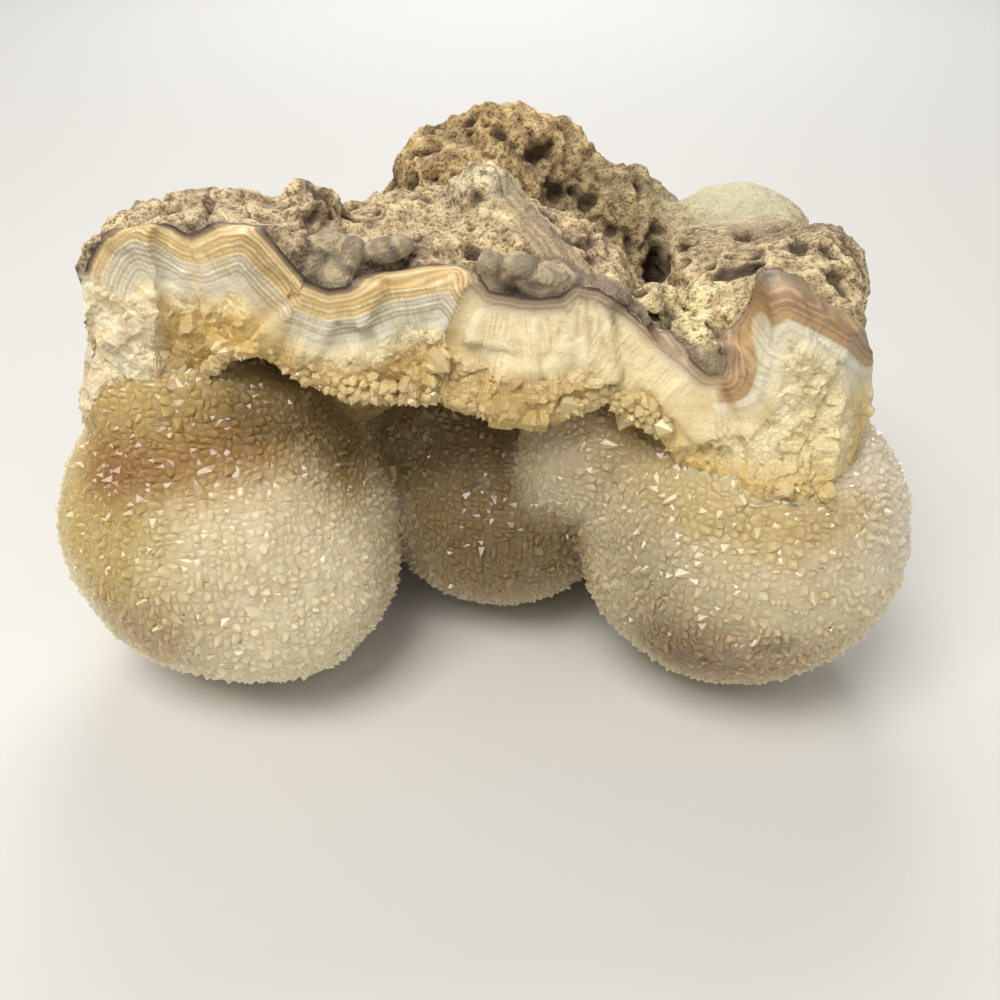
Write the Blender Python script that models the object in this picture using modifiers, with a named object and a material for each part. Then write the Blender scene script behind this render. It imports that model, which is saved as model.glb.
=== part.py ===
"""Druzy quartz geode: a broken piece of geode wall on balls of quartz, under a crust of small crystals.

The frame has +X to the right, +Y away from the broken front and +Z up. The origin is on the table, under the
middle of the piece. All sizes are in metres.
"""

import random

import bmesh
import bpy
from mathutils import Vector

# Driving dimensions
CRUST_DEPTH = 0.004
CRYSTAL_HEIGHT = 0.0019
CLEARANCE = 0.0004
ROCK_INSET = 0.0035
FINE_VOXEL = 0.0015
WALL_TRIANGLES = 3400
CRUST_CELLS = 900
CRUST_FLOOR = 0.0004
SEED = 11

# The quartz balls, under and inside the wall: centre and radii
BALLS = {
    "left": ((-0.049, -0.024, 0.031), (0.032, 0.031, 0.032)),
    "right": ((0.049, -0.027, 0.031), (0.0315, 0.030, 0.032)),
    "left_low": ((-0.0415, -0.028, 0.0225), (0.0250, 0.0265, 0.0215)),
    "middle": ((0.004, -0.008, 0.0255), (0.027, 0.023, 0.0245)),
    "inner": ((0.020, -0.025, 0.047), (0.0145, 0.012, 0.015)),
    "upper_left": ((-0.051, -0.026, 0.0575), (0.0215, 0.0145, 0.0115)),
    "back_left": ((-0.036, 0.024, 0.026), (0.027, 0.024, 0.026)),
    "back_right": ((0.038, 0.022, 0.026), (0.028, 0.026, 0.026)),
    "back_middle": ((0.002, 0.034, 0.024), (0.022, 0.020, 0.0245)),
    "under": ((-0.008, 0.008, 0.040), (0.030, 0.026, 0.016)),
}
# The balls that the piece rests on, and the knob of quartz in each that reaches the table
FEET = ("left", "right", "back_middle")
FOOT_RADII = (0.009, 0.009, 0.0095)
FOOT_HEIGHT = 0.008

# The wall, as rounded blocks: centre, half sizes and rounding
BLOCKS = {
    "left": ((-0.045, -0.024, 0.071), (0.021, 0.017, 0.0195), 0.009),
    "front": ((-0.004, -0.022, 0.068), (0.032, 0.020, 0.014), 0.009),
    "right": ((0.0505, -0.0145, 0.060), (0.0155, 0.0345, 0.0170), 0.009),
    "floor": ((0.000, 0.005, 0.050), (0.066, 0.036, 0.015), 0.012),
}
# and as rounded lumps: centre and radii
LUMPS = {
    "left_end": ((-0.0575, -0.028, 0.062), (0.0115, 0.010, 0.013)),
    "left_crown": ((-0.046, -0.021, 0.084), (0.014, 0.013, 0.0095)),
    "slope": ((-0.006, -0.010, 0.0725), (0.033, 0.027, 0.0165)),
    "rim_peak": ((-0.0285, -0.016, 0.084), (0.006, 0.009, 0.0095)),
    "peak": ((0.002, 0.037, 0.060), (0.029, 0.019, 0.034)),
    "peak_corner": ((-0.0105, 0.035, 0.079), (0.0105, 0.010, 0.010)),
    "peak_left": ((-0.018, 0.030, 0.052), (0.024, 0.020, 0.0235)),
    "saddle": ((0.027, 0.034, 0.058), (0.020, 0.016, 0.024)),
    "pale": ((0.054, 0.027, 0.060), (0.019, 0.018, 0.0195)),
    "right_back": ((0.062, 0.010, 0.058), (0.015, 0.020, 0.016)),
    "right_horn": ((0.047, -0.034, 0.070), (0.011, 0.014, 0.0145)),
    "right_rim": ((0.057, -0.008, 0.068), (0.013, 0.018, 0.012)),
    "right_knob": ((0.0640, 0.002, 0.0700), (0.0100, 0.0125, 0.0100)),
    "shoulder": ((-0.048, 0.010, 0.056), (0.019, 0.026, 0.019)),
}
BROW = ((-0.006, -0.034, 0.070), (0.028, 0.015, 0.0125))
# The grey ridge from the crest of the slope down to the valley: its line and radius
RIDGE = ((0.000, -0.008, 0.087), (0.0148, -0.031, 0.0755), (0.0365, -0.038, 0.0625))
RIDGE_RADIUS = 0.0072
VALLEY = ((0.0385, -0.056, 0.0765), (0.034, -0.004, 0.082), 0.0085)
HOLLOWS = (
    ((-0.008, -0.036, 0.050), (0.037, 0.026, 0.021)),
    ((-0.036, -0.036, 0.060), (0.012, 0.020, 0.0115)),
)
# Dark holes in the rough top: centre and radii
PITS = (
    ((-0.020, 0.021, 0.084), (0.007, 0.008, 0.008)),
    ((0.026, -0.008, 0.079), (0.0028, 0.007, 0.008)),
    ((0.046, 0.001, 0.076), (0.006, 0.004, 0.005)),
)

# The broken front, seen from above at its foot
FRONT_LINE = (
    (-0.100, -0.018),
    (-0.076, -0.027),
    (-0.068, -0.034),
    (-0.052, -0.036),
    (-0.050, -0.0385),
    (-0.030, -0.036),
    (-0.008, -0.0365),
    (-0.005, -0.0395),
    (0.012, -0.038),
    (0.020, -0.0385),
    (0.037, -0.0425),
    (0.046, -0.0485),
    (0.0575, -0.0480),
    (0.0645, -0.038),
    (0.100, -0.012),
)
FRONT_BOTTOM = 0.0540
FRONT_TOP = 0.110
# How far the front leans back over its height: a little on the left, and more from the valley on
LEFT_LEAN = 0.12
RIGHT_LEAN = 0.30
LEAN_CHANGES = (0.020, 0.046)

# Lumps on the rind and on the broken front: kind of pattern, strength and width
RIND_LUMPS = (("CLOUDS", 0.0060, 0.015), ("VORONOI", -0.0030, 0.008))
FRONT_LUMPS = ("CLOUDS", 0.0032, 0.008)
FRONT_VOXEL = 0.0022
ROCK_SOFTENING = 6
WHOLE_SOFTENING = 2
FAR_OUT = 0.150


def clear_scene():
    for thing in list(bpy.data.objects):
        bpy.data.objects.remove(thing, do_unlink=True)


def new_collection(name, hidden=False):
    group = bpy.data.collections.new(name)
    bpy.context.scene.collection.children.link(group)
    group.hide_render = hidden
    return group


def new_material(name, colour, roughness):
    made = bpy.data.materials.new(name)
    made.use_nodes = True
    shader = made.node_tree.nodes["Principled BSDF"]
    shader.inputs["Base Color"].default_value = (*colour, 1.0)
    shader.inputs["Roughness"].default_value = roughness
    shader.inputs["Metallic"].default_value = 0.0
    made.diffuse_color = (*colour, 1.0)
    return made


def place(name, bm, group):
    """A new object holding the bmesh."""
    mesh = bpy.data.meshes.new(name)
    bm.to_mesh(mesh)
    bm.free()
    made = bpy.data.objects.new(name, mesh)
    made.display_type = "WIRE"
    group.objects.link(made)
    return made


def applied(thing):
    """The object with its modifiers worked into its mesh."""
    graph = bpy.context.evaluated_depsgraph_get()
    mesh = bpy.data.meshes.new_from_object(thing.evaluated_get(graph))
    thing.modifiers.clear()
    thing.data = mesh
    return thing


def add_ellipsoid(bm, centre, radii, grow=0.0, detail=4):
    ball = bmesh.ops.create_icosphere(bm, subdivisions=detail, radius=1.0)["verts"]
    size = [radius + grow for radius in radii]
    for vert in ball:
        vert.co = Vector(c + s * v for c, s, v in zip(centre, size, vert.co))


def add_block(bm, centre, half, rounding, grow=0.0):
    """A block with round edges and corners: a ball whose eight parts are moved apart."""
    ball = bmesh.ops.create_cube(bm, size=2.0)["verts"]
    size = [side + grow for side in half]
    for vert in ball:
        vert.co = Vector(c + s * v for c, s, v in zip(centre, size, vert.co))
    edges = list({edge for vert in ball for edge in vert.link_edges})
    bmesh.ops.bevel(bm, geom=edges, offset=rounding, segments=4, profile=0.5, affect="EDGES")


def add_rod(bm, start, end, radius, grow=0.0):
    """A rod with round ends: a ball whose two halves are moved apart."""
    start, end = Vector(start), Vector(end)
    along = (end - start) / 2
    turn = Vector((0, 0, 1)).rotation_difference(along)
    ball = bmesh.ops.create_uvsphere(bm, u_segments=24, v_segments=15, radius=radius + grow)["verts"]
    for vert in ball:
        side = 1 if vert.co.z > 0 else -1
        vert.co = (start + end) / 2 + turn @ vert.co + along * side


def fused(thing, voxel, smoothing):
    """One closed skin round everything in the object, with its creases softened."""
    remesh = thing.modifiers.new("fuse", "REMESH")
    remesh.mode = "VOXEL"
    remesh.voxel_size = voxel
    soften = thing.modifiers.new("soften", "SMOOTH")
    soften.iterations = smoothing
    return applied(thing)


def cut(thing, cutter, operation="DIFFERENCE"):
    """The object with the cutter taken away."""
    boolean = thing.modifiers.new("cut", "BOOLEAN")
    boolean.object = cutter
    boolean.operation = operation
    boolean.solver = "EXACT"
    return applied(thing)


def lean_at(x):
    """How far the front leans back over its height at this place along it."""
    start, end = LEAN_CHANGES
    share = min(max((x - start) / (end - start), 0.0), 1.0)
    return LEFT_LEAN + (RIGHT_LEAN - LEFT_LEAN) * share


def front_cutter(group, back):
    """Everything in front of the broken face, as an outline of the face raised into a block and leant back."""
    outline = bpy.data.curves.new("front_cutter", "CURVE")
    outline.dimensions = "2D"
    outline.fill_mode = "BOTH"
    outline.extrude = (FRONT_TOP - FRONT_BOTTOM) / 2
    points = [(x, y + back) for x, y in FRONT_LINE]
    points += [(FRONT_LINE[-1][0], -FAR_OUT), (FRONT_LINE[0][0], -FAR_OUT)]
    spline = outline.splines.new("POLY")
    spline.points.add(len(points) - 1)
    for point, (x, y) in zip(spline.points, points):
        point.co = (x, y, 0.0, 1.0)
    spline.use_cyclic_u = True
    flat = bpy.data.objects.new("front_outline", outline)
    group.objects.link(flat)
    bpy.context.view_layer.update()
    graph = bpy.context.evaluated_depsgraph_get()
    mesh = bpy.data.meshes.new_from_object(flat.evaluated_get(graph))
    bpy.data.objects.remove(flat)
    bm = bmesh.new()
    bm.from_mesh(mesh)
    bmesh.ops.remove_doubles(bm, verts=bm.verts, dist=0.00001)
    middle = (FRONT_TOP + FRONT_BOTTOM) / 2
    for vert in bm.verts:
        vert.co.z += middle
        vert.co.y += (vert.co.z - FRONT_BOTTOM) * lean_at(vert.co.x)
    bmesh.ops.recalc_face_normals(bm, faces=bm.faces)
    return roughened(place("front_cutter", bm, group), FRONT_VOXEL, *FRONT_LUMPS)


def roughened(thing, voxel, kind, strength, scale):
    """The object with uneven lumps on it, about as wide as the scale."""
    remesh = thing.modifiers.new("even", "REMESH")
    remesh.mode = "VOXEL"
    remesh.voxel_size = voxel
    pattern = bpy.data.textures.new("lumps", kind)
    pattern.noise_scale = scale
    lumps = thing.modifiers.new("lumps", "DISPLACE")
    lumps.texture = pattern
    lumps.texture_coords = "LOCAL"
    lumps.strength = strength
    lumps.mid_level = 0.5
    return applied(thing)


def below_cutter(group, height):
    """Everything under a height."""
    bm = bmesh.new()
    bmesh.ops.create_cube(bm, size=2 * FAR_OUT)
    for vert in bm.verts:
        vert.co.z += height - FAR_OUT
    return place("floor_cutter", bm, group)


def rock_form(group, grow):
    """The wall without its quartz balls, before it was broken."""
    bm = bmesh.new()
    for centre, half, rounding in BLOCKS.values():
        add_block(bm, centre, half, rounding, grow)
    for centre, radii in LUMPS.values():
        add_ellipsoid(bm, centre, radii, grow)
    for start, end in zip(RIDGE[:-1], RIDGE[1:]):
        add_rod(bm, start, end, RIDGE_RADIUS, grow)
    return fused(place("rock", bm, group), FINE_VOXEL, ROCK_SOFTENING)


def whole_form(name, group, ball_grow, rock_grow, hollow_grow):
    """Wall and balls in one skin. Each of the three parts can be made a little larger or smaller."""
    rock = rock_form(group, rock_grow)
    if rock_grow == 0.0:
        for lumps in RIND_LUMPS:
            roughened(rock, FINE_VOXEL, *lumps)
    bm = bmesh.new()
    add_rod(bm, *VALLEY, -rock_grow)
    cut(rock, place("valley_cutter", bm, group))
    for centre, radii in PITS:
        bm = bmesh.new()
        add_ellipsoid(bm, centre, radii, -rock_grow)
        cut(rock, place("pit_cutter", bm, group))
    for centre, radii in HOLLOWS:
        bm = bmesh.new()
        add_ellipsoid(bm, centre, radii, hollow_grow)
        cut(rock, place("hollow_cutter", bm, group))
    bm = bmesh.new()
    add_ellipsoid(bm, *BROW, rock_grow)
    cut(rock, place("brow", bm, group), "UNION")
    cut(rock, front_cutter(group, -rock_grow))
    bm = bmesh.new()
    bm.from_mesh(rock.data)
    for centre, radii in BALLS.values():
        add_ellipsoid(bm, centre, radii, ball_grow)
    made = place(name, bm, group)
    fused(made, FINE_VOXEL, WHOLE_SOFTENING)
    return made


def add_feet(wall, group):
    """The knobs of quartz at the foot of three balls, which reach the table."""
    for key in FEET:
        x, y, _ = BALLS[key][0]
        bm = bmesh.new()
        add_ellipsoid(bm, (x, y, FOOT_HEIGHT), FOOT_RADII, detail=2)
        cut(wall, place("foot", bm, group), "UNION")


def thinned(thing, triangles):
    """The object with about this many triangles."""
    bm = bmesh.new()
    bm.from_mesh(thing.data)
    bmesh.ops.triangulate(bm, faces=bm.faces)
    bm.to_mesh(thing.data)
    bm.free()
    fewer = thing.modifiers.new("fewer", "DECIMATE")
    fewer.ratio = triangles / len(thing.data.polygons)
    return applied(thing)


def largest_body(thing):
    """Drops loose crumbs, so that one closed body is left."""
    bm = bmesh.new()
    bm.from_mesh(thing.data)
    waiting = set(bm.verts)
    bodies = []
    while waiting:
        reached = [waiting.pop()]
        body = []
        while reached:
            vert = reached.pop()
            body.append(vert)
            for edge in vert.link_edges:
                other = edge.other_vert(vert)
                if other in waiting:
                    waiting.remove(other)
                    reached.append(other)
        bodies.append(body)
    bodies.sort(key=len)
    for body in bodies[:-1]:
        bmesh.ops.delete(bm, geom=body, context="VERTS")
    bm.to_mesh(thing.data)
    bm.free()
    return thing


def dual_cells(thing):
    """Turns each corner of the mesh into a cell of five to seven sides."""
    tree = bpy.data.node_groups.new("cells", "GeometryNodeTree")
    tree.interface.new_socket("Geometry", in_out="INPUT", socket_type="NodeSocketGeometry")
    tree.interface.new_socket("Geometry", in_out="OUTPUT", socket_type="NodeSocketGeometry")
    source = tree.nodes.new("NodeGroupInput")
    dual = tree.nodes.new("GeometryNodeDualMesh")
    result = tree.nodes.new("NodeGroupOutput")
    tree.links.new(source.outputs[0], dual.inputs[0])
    tree.links.new(dual.outputs[0], result.inputs[0])
    thing.modifiers.new("cells", "NODES").node_group = tree
    return applied(thing)


def with_points(thing, height):
    """Raises a crystal point of flat faces over each cell."""
    chance = random.Random(SEED)
    bm = bmesh.new()
    bm.from_mesh(thing.data)
    bm.normal_update()
    raised = []
    for face in bm.faces:
        side = Vector([chance.uniform(-1, 1) for _ in range(3)])
        raised.append(face.normal * height * chance.uniform(0.6, 1.3) + side * height * 0.25)
    made = bmesh.ops.poke(bm, faces=list(bm.faces), offset=0.0)
    for vert, move in zip(made["verts"], raised):
        vert.co += move
    bm.to_mesh(thing.data)
    bm.free()
    return thing


def swollen(thing, name, group, amount):
    """A copy of the object, a little larger all round."""
    bm = bmesh.new()
    bm.from_mesh(thing.data)
    bm.normal_update()
    moves = [vert.normal * amount * vert.calc_shell_factor() for vert in bm.verts]
    for vert, move in zip(bm.verts, moves):
        vert.co += move
    return place(name, bm, group)


def geode_wall(cutters):
    wall = whole_form("geode_wall", cutters, -CRUST_DEPTH, 0.0, CRUST_DEPTH)
    thinned(wall, WALL_TRIANGLES)
    add_feet(wall, cutters)
    cut(wall, below_cutter(cutters, 0.0))
    return largest_body(wall)


def druzy_crust(cutters, wall):
    crust = whole_form("druzy_crust", cutters, -CRYSTAL_HEIGHT / 2, -ROCK_INSET, 0.0)
    thinned(crust, CRUST_CELLS * 2)
    dual_cells(crust)
    with_points(crust, CRYSTAL_HEIGHT)
    cut(crust, swollen(wall, "wall_cutter", cutters, CLEARANCE))
    cut(crust, below_cutter(cutters, CRUST_FLOOR))
    return largest_body(crust)


def finish(thing, group, surface):
    for holder in list(thing.users_collection):
        holder.objects.unlink(thing)
    group.objects.link(thing)
    thing.display_type = "TEXTURED"
    thing.data.materials.clear()
    thing.data.materials.append(surface)


def centred(things):
    """Moves the piece so that the origin is under the middle of its box."""
    corners = [vert.co for thing in things for vert in thing.data.vertices]
    low = Vector(min(corner[axis] for corner in corners) for axis in range(3))
    high = Vector(max(corner[axis] for corner in corners) for axis in range(3))
    middle = (low + high) / 2
    for thing in things:
        for vert in thing.data.vertices:
            vert.co -= Vector((middle.x, middle.y, 0.0))
    return middle


def main():
    clear_scene()
    part = new_collection("druzy_quartz_geode")
    cutters = new_collection("cutters", hidden=True)
    wall = geode_wall(cutters)
    crust = druzy_crust(cutters, wall)
    print("moved", centred((wall, crust)))
    finish(wall, part, new_material("wall_stone", (0.62, 0.52, 0.36), 0.75))
    finish(crust, part, new_material("quartz_druse", (0.86, 0.85, 0.80), 0.25))
    for name, thing in (("wall", wall), ("crust", crust)):
        print(name, len(thing.data.vertices), len(thing.data.polygons))


main()
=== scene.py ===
"""Looks of the druzy quartz geode: rough rind, banded agate, broken quartz and a crust of small crystals.

Shapes are worked out in millimetres from the form below, which is the form that the solids have, and then made
into meshes in metres.
"""

import itertools
import math

import bpy
import numpy as np
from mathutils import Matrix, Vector


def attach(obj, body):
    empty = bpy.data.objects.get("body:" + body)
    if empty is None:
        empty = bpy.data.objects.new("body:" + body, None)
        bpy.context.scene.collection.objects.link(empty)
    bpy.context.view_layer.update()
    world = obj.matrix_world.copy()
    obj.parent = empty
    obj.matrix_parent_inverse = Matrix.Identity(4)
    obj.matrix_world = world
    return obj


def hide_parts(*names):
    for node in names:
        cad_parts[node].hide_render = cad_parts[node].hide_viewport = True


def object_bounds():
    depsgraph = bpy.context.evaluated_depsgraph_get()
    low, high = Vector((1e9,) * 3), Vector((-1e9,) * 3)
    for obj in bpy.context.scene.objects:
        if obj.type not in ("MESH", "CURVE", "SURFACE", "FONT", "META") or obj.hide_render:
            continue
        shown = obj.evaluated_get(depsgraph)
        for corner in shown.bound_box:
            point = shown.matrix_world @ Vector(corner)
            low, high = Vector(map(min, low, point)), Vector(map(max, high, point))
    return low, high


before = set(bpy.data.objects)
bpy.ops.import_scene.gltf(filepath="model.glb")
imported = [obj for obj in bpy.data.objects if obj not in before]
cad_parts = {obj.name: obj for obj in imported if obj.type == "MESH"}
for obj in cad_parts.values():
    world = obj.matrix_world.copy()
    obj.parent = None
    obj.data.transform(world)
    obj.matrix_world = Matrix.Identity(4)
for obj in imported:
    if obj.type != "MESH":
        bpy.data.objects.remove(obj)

CAD_LOW, CAD_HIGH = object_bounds()
MM = 0.001

# The quartz balls: centre and radii
BALLS = {
    "left": ((-49.0, -24.0, 31.0), (32.0, 31.0, 32.0)),
    "right": ((49.0, -27.0, 31.0), (31.5, 30.0, 32.0)),
    "left_low": ((-41.5, -28.0, 22.5), (25.0, 26.5, 21.5)),
    "middle": ((4.0, -8.0, 25.5), (27.0, 23.0, 24.5)),
    "inner": ((20.0, -25.0, 47.0), (14.5, 12.0, 15.0)),
    "upper_left": ((-51.0, -26.0, 57.5), (21.5, 14.5, 11.5)),
    "back_left": ((-36.0, 24.0, 26.0), (27.0, 24.0, 26.0)),
    "back_right": ((38.0, 22.0, 26.0), (28.0, 26.0, 26.0)),
    "back_middle": ((2.0, 34.0, 24.0), (22.0, 20.0, 24.5)),
    "under": ((-8.0, 8.0, 40.0), (30.0, 26.0, 16.0)),
}
# The wall, as rounded blocks: centre, half sizes and rounding
BLOCKS = {
    "left": ((-45.0, -24.0, 71.0), (21.0, 17.0, 19.5), 9.0),
    "front": ((-4.0, -22.0, 68.0), (32.0, 20.0, 14.0), 9.0),
    "right": ((50.5, -14.5, 60.0), (15.5, 34.5, 17.0), 9.0),
    "floor": ((0.0, 5.0, 50.0), (66.0, 36.0, 15.0), 12.0),
}
# and as rounded lumps: centre and radii
LUMPS = {
    "left_end": ((-57.5, -28.0, 62.0), (11.5, 10.0, 13.0)),
    "left_crown": ((-46.0, -21.0, 84.0), (14.0, 13.0, 9.5)),
    "slope": ((-6.0, -10.0, 72.5), (33.0, 27.0, 16.5)),
    "rim_peak": ((-28.5, -16.0, 84.0), (6.0, 9.0, 9.5)),
    "peak": ((2.0, 37.0, 60.0), (29.0, 19.0, 34.0)),
    "peak_corner": ((-10.5, 35.0, 79.0), (10.5, 10.0, 10.0)),
    "peak_left": ((-18.0, 30.0, 52.0), (24.0, 20.0, 23.5)),
    "saddle": ((27.0, 34.0, 58.0), (20.0, 16.0, 24.0)),
    "pale": ((54.0, 27.0, 60.0), (19.0, 18.0, 19.5)),
    "right_back": ((62.0, 10.0, 58.0), (15.0, 20.0, 16.0)),
    "right_horn": ((47.0, -34.0, 70.0), (11.0, 14.0, 14.5)),
    "right_rim": ((57.0, -8.0, 68.0), (13.0, 18.0, 12.0)),
    "right_knob": ((64.0, 2.0, 70.0), (10.0, 12.5, 10.0)),
    "rim_knob": ((-30.2, -15.0, 92.4), (1.7, 2.0, 2.6)),
    "crest_knob": ((0.5, -10.5, 92.4), (3.4, 3.2, 2.6)),
    "shoulder": ((-48.0, 10.0, 56.0), (19.0, 26.0, 19.0)),
}
BROWS = (
    ((-15.0, -34.0, 72.0), (20.0, 15.0, 9.5)),
    ((6.0, -34.0, 70.5), (19.0, 15.0, 11.0)),
)
RIDGE = ((0.0, -8.0, 87.0), (14.8, -31.0, 75.5), (36.5, -38.0, 62.5))
RIDGE_RADIUS = 7.2
VALLEY = ((38.5, -56.0, 76.5), (34.0, -4.0, 82.0), 8.5)
HOLLOWS = (
    ((-8.0, -36.0, 50.0), (37.0, 26.0, 21.0)),
    ((-36.0, -36.0, 60.0), (12.0, 20.0, 11.5)),
)
PITS = (
    ((-20.0, 21.0, 84.0), (7.0, 8.0, 8.0)),
    ((35.8, 16.0, 64.0), (1.7, 8.0, 9.0)),
    ((44.5, -12.8, 77.0), (5.6, 2.6, 2.8)),
)
# Grey rounded nodules where the rind meets the agate, and crusty lumps in the valley
NODULES = (
    ((-26.6, -29.5, 86.0), (2.9, 2.8, 3.1)),
    ((-23.0, -30.0, 84.2), (3.3, 3.0, 2.6)),
    ((-20.6, -29.3, 86.8), (2.5, 2.6, 2.5)),
    ((-24.3, -28.6, 88.2), (2.9, 2.6, 2.1)),
    ((-15.4, -28.4, 86.6), (3.3, 3.0, 2.1)),
    ((-12.6, -28.0, 87.2), (2.0, 2.2, 1.6)),
    ((2.0, -31.8, 84.6), (2.6, 2.8, 2.9)),
    ((6.0, -32.2, 84.6), (2.9, 2.8, 2.1)),
    ((10.2, -31.8, 83.0), (4.6, 3.4, 2.2)),
)
CRUSTS = (
    ((35.5, -28.0, 70.5), (6.0, 6.5, 4.6)),
    ((38.0, -36.0, 70.2), (4.4, 4.4, 4.0)),
    ((30.5, -20.0, 74.0), (4.5, 5.0, 4.0)),
    ((40.0, -18.0, 71.5), (5.0, 6.0, 4.5)),
)
# The middle line of the grey streaked ridge, from the crest to the foot of the valley, and half its width along Y
RIDGE_STREAKS = (
    (3.5, -11.0, 93.0), (9.5, -20.0, 88.5), (18.0, -33.0, 82.5), (26.0, -36.5, 78.0), (32.5, -36.0, 73.5),
    (37.0, -38.5, 70.5),
)
STREAK_WIDTHS = ((-36.0, 6.8), (-24.0, 4.6), (-10.0, 2.0))
# A crack under the valley, and the foot of the ridge, which dark streaks spread from
CRACK = ((37.4, -39.2, 70.0), (39.9, -41.5, 66.3), (41.6, -43.9, 62.0), (43.3, -45.5, 55.5))
FAN = (16.5, -35.5, 84.0)
SCAR = ((50.4, -55.8, 26.3), (3.6, 3.0, 2.0))

# The broken front, seen from above at its foot, and how far it leans back over its height
FRONT_LINE = (
    (-100.0, -18.0), (-76.0, -27.0), (-68.0, -34.0), (-52.0, -36.0), (-30.0, -37.0), (-8.0, -37.5), (12.0, -38.0),
    (20.0, -38.5), (37.0, -42.5), (46.0, -48.5), (57.5, -48.0), (64.5, -38.0), (100.0, -12.0),
)
FRONT_BOTTOM = 54.0
LEFT_LEAN = 0.12
RIGHT_LEAN = 0.30
LEAN_CHANGES = (20.0, 46.0)
# Steps in it: the line of each from bottom to top, as X at two heights, and how far the right side lies back
STEPS = (
    ((-53.6, 71.0), (-51.3, 86.5), 1.8),
    ((-46.5, 70.0), (-45.5, 90.0), -1.2),
    ((-33.5, 72.0), (-29.0, 82.0), 0.7),
    ((-8.0, 65.0), (-0.8, 86.0), 1.6),
)
# The line between rind and agate on the broken front, as X and Z
BAND_LINE = (
    (-90.0, 66.0), (-69.0, 73.0), (-66.0, 79.0), (-63.0, 85.5), (-60.0, 89.5), (-52.7, 94.0), (-48.4, 92.8),
    (-45.5, 90.2), (-41.0, 92.5), (-36.4, 93.5), (-33.0, 91.0), (-30.2, 87.0), (-28.0, 83.8), (-24.2, 82.2),
    (-21.0, 82.7), (-16.0, 85.0), (-9.6, 86.0), (-1.7, 87.6), (-0.5, 83.4), (1.4, 81.4), (6.2, 80.4),
    (12.5, 80.9), (14.8, 83.1), (18.8, 82.5), (25.3, 78.3), (31.9, 73.3), (36.7, 69.6), (38.8, 70.0),
    (40.1, 76.6), (41.2, 80.4), (44.4, 84.0), (47.2, 85.1), (53.9, 82.0), (60.7, 78.6), (66.0, 72.5), (90.0, 64.0),
)

WALL_STEP = 0.70
WALL_SHARE = 0.78
CRUST_STEP = 1.2


def lattice(cell, seed):
    """A repeatable number from 0 to 1 for each whole-number cell."""
    words = cell.astype(np.int64)
    mixed = words[..., 0] * 73856093 ^ words[..., 1] * 19349663 ^ words[..., 2] * 83492791 ^ seed * 2654435761
    mixed = (mixed & 0xFFFFFFFF) * 0x45D9F3B & 0xFFFFFFFF
    mixed = (mixed ^ (mixed >> 15)) * 0x2C1B3C6D & 0xFFFFFFFF
    mixed = mixed ^ (mixed >> 13)
    return (mixed & 0xFFFFFF) / 0xFFFFFF


def noise(points, size, seed):
    """Smooth noise from -1 to 1 with lumps about this size."""
    scaled = points / size
    base = np.floor(scaled)
    part = scaled - base
    part = part * part * (3 - 2 * part)
    total = np.zeros(points.shape[:-1])
    for corner in itertools.product((0, 1), repeat=3):
        weight = np.ones(points.shape[:-1])
        for axis in range(3):
            weight = weight * (part[..., axis] if corner[axis] else 1 - part[..., axis])
        total += weight * lattice(base + np.array(corner), seed)
    return total * 2 - 1


def layered(points, size, seed, layers=4):
    """Noise with finer noise on it."""
    total = np.zeros(points.shape[:-1])
    strength = 1.0
    for layer in range(layers):
        total += noise(points, size / 2**layer, seed + layer) * strength
        strength *= 0.5
    return total / 1.6


def cells(points, size, seed):
    """Distance to the nearest and the next of scattered points, over the size of a cell."""
    scaled = points / size
    base = np.floor(scaled)
    nearest = np.full(points.shape[:-1], 9.0)
    following = np.full(points.shape[:-1], 9.0)
    for corner in itertools.product((-1, 0, 1), repeat=3):
        cell = base + np.array(corner)
        spot = cell + np.stack([lattice(cell, seed + axis) for axis in range(3)], -1)
        away = np.sqrt(((scaled - spot) ** 2).sum(-1))
        following = np.minimum(following, np.maximum(nearest, away))
        nearest = np.minimum(nearest, away)
    return nearest, following


def facets(points, size, seed):
    """Flat faces about this wide, each tilted its own way: a height from about -1 to 1."""
    scaled = points / size
    base = np.floor(scaled)
    nearest = np.full(points.shape[:-1], 9.0)
    height = np.zeros(points.shape[:-1])
    for corner in itertools.product((-1, 0, 1), repeat=3):
        cell = base + np.array(corner)
        spot = cell + np.stack([lattice(cell, seed + axis) for axis in range(3)], -1)
        away = scaled - spot
        square = (away**2).sum(-1)
        tilt = np.stack([lattice(cell, seed + 3 + axis) for axis in range(3)], -1) * 2 - 1
        level = (away * tilt).sum(-1) * 1.4 + (lattice(cell, seed + 6) * 2 - 1) * 0.25
        closer = square < nearest
        height = np.where(closer, level, height)
        nearest = np.where(closer, square, nearest)
    return height


def ramp(value, low, high):
    """0 under low, 1 over high and smooth between."""
    part = np.clip((value - low) / (high - low), 0, 1)
    return part * part * (3 - 2 * part)


def ellipsoid(points, centre, radii):
    radii = np.array(radii)
    part = (points - np.array(centre)) / radii
    near = np.sqrt((part**2).sum(-1))
    steep = np.sqrt(((part / radii) ** 2).sum(-1))
    return near * (near - 1) / np.maximum(steep, 1e-6)


def block(points, centre, half, rounding):
    away = np.abs(points - np.array(centre)) - (np.array(half) - rounding)
    outside = np.sqrt((np.maximum(away, 0) ** 2).sum(-1))
    return outside + np.minimum(away.max(-1), 0) - rounding


def rod(points, start, end, radius):
    start, along = np.array(start), np.array(end) - np.array(start)
    part = np.clip(((points - start) @ along) / (along @ along), 0, 1)
    return np.sqrt(((points - start - part[..., None] * along) ** 2).sum(-1)) - radius


def joined(first, second, soft):
    """Both shapes as one, with a rounded crease."""
    part = np.clip(0.5 + 0.5 * (second - first) / soft, 0, 1)
    return second * (1 - part) + first * part - soft * part * (1 - part)


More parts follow.
